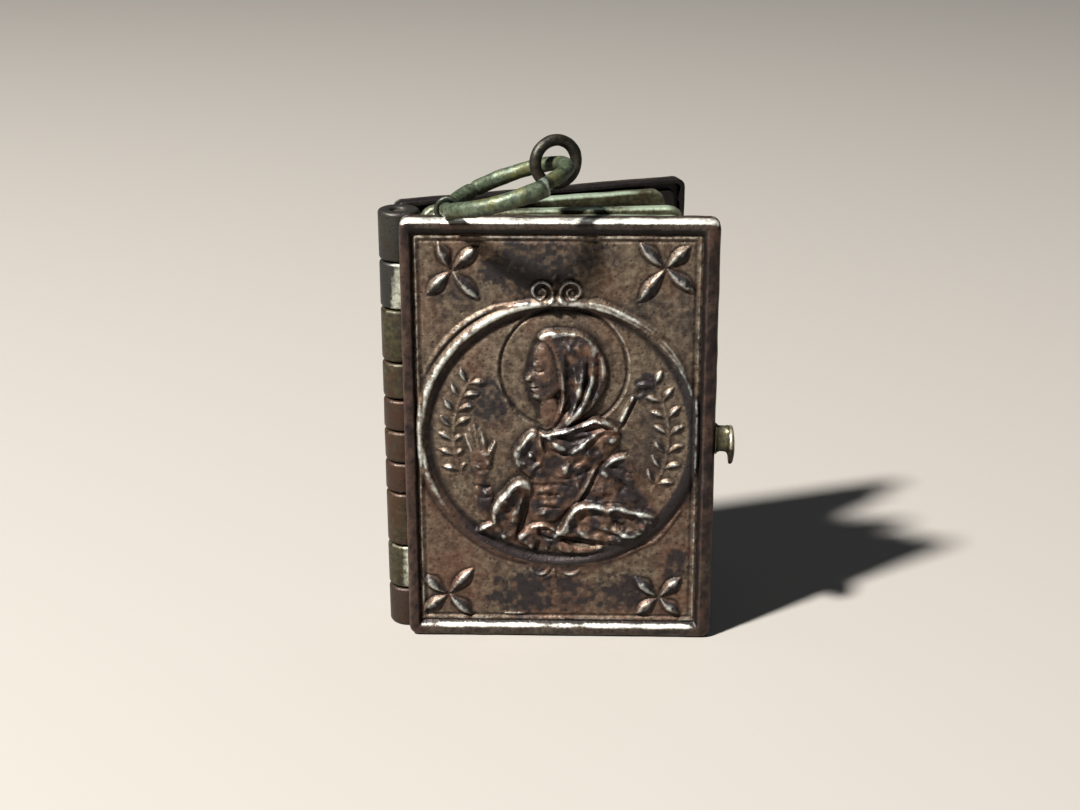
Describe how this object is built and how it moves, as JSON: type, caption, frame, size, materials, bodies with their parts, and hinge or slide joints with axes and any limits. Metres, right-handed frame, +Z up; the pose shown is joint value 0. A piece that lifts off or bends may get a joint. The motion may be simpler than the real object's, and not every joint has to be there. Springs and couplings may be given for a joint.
{
  "type": "book pendant",
  "caption": "Small book-shaped metal pendant with a stamped relief cover, a pin-hinged spine, rimmed inner leaves, a clasp stud and hanging rings.",
  "frame": {"origin": "middle of the bounding box, on the surface the book stands on", "axes": "+X from the spine to the fore-edge, +Y from the front cover to the back, +Z up the spine"},
  "size_m": [0.0206, 0.0146, 0.0303],
  "materials": {
    "cover_metal": "tarnished silver plate over brass, worn bright on the edges",
    "relief_metal": "tarnished silver plate, dark in the hollows, brown in the recesses",
    "stud_brass": "dull greenish brass",
    "pin_metal": "dull",
    "ring_brass": "verdigris over brass",
    "ring_bronze": "dark bronze patina",
    "leaf_brass": "olive brass with verdigris"
  },
  "bodies": {
    "front": {"front_cover": "cover_metal", "front_panel": "relief_metal", "clasp_stud": "stud_brass", "hinge_pin": "pin_metal", "bail_ring": "ring_brass", "jump_ring": "ring_bronze"},
    "back": {"back_cover": "cover_metal"},
    "first_leaf": {"leaf_1": "leaf_brass"},
    "second_leaf": {"leaf_2": "leaf_brass"},
    "third_leaf": {"leaf_3": "leaf_brass"}
  },
  "joints": [
    {"name": "cover_hinge", "type": "hinge", "parent": "front", "child": "back", "pos_m": [-0.00917, -0.00137, 0.013], "axis": [0, 0, 1], "range_deg": [-20.5, 159.5]},
    {"name": "leaf_1_hinge", "type": "hinge", "parent": "front", "child": "first_leaf", "pos_m": [-0.00917, -0.00137, 0.013], "axis": [0, 0, 1], "range_deg": [-1.01, 7.8]},
    {"name": "leaf_2_hinge", "type": "hinge", "parent": "front", "child": "second_leaf", "pos_m": [-0.00917, -0.00137, 0.013], "axis": [0, 0, 1], "range_deg": [-6.01, 46.7]},
    {"name": "leaf_3_hinge", "type": "hinge", "parent": "front", "child": "third_leaf", "pos_m": [-0.00917, -0.00137, 0.013], "axis": [0, 0, 1], "range_deg": [-18.01, 140.06]}
  ],
  "couplings": [
    {"joint": "leaf_1_hinge", "follows": "cover_hinge", "ratio": 0.04878},
    {"joint": "leaf_2_hinge", "follows": "cover_hinge", "ratio": 0.29268},
    {"joint": "leaf_3_hinge", "follows": "cover_hinge", "ratio": 0.87805}
  ]
}
